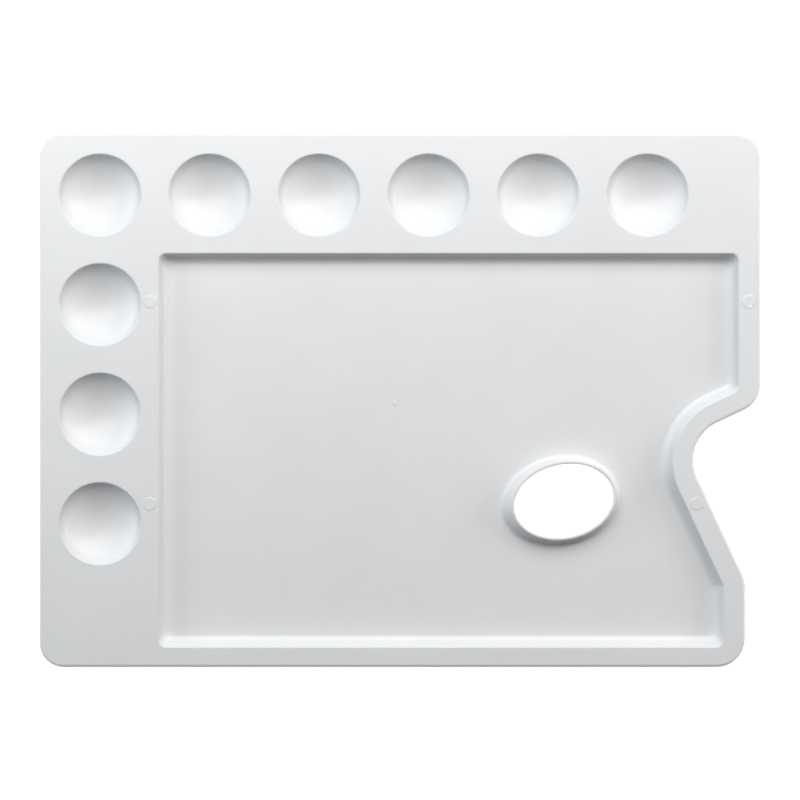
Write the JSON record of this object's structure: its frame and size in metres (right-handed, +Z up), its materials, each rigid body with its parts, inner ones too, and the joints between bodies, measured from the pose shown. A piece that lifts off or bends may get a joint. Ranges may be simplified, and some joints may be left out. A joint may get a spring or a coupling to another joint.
{
  "type": "mixing palette",
  "caption": "Rectangular white plastic paint-mixing palette with round wells along two edges, a sunken mixing tray, a collared oval thumb hole and a brush notch in one side.",
  "frame": {"origin": "middle of the bounding box, on the surface that the palette lies on", "axes": "+Z up out of the wells, +X from the column of wells towards the notched edge, +Y towards the row of wells"},
  "size_m": [0.34, 0.252, 0.012],
  "materials": {
    "white_plastic": "semi-gloss moulded white plastic"
  },
  "bodies": {
    "root": {"palette": "white_plastic"}
  },
  "joints": []
}
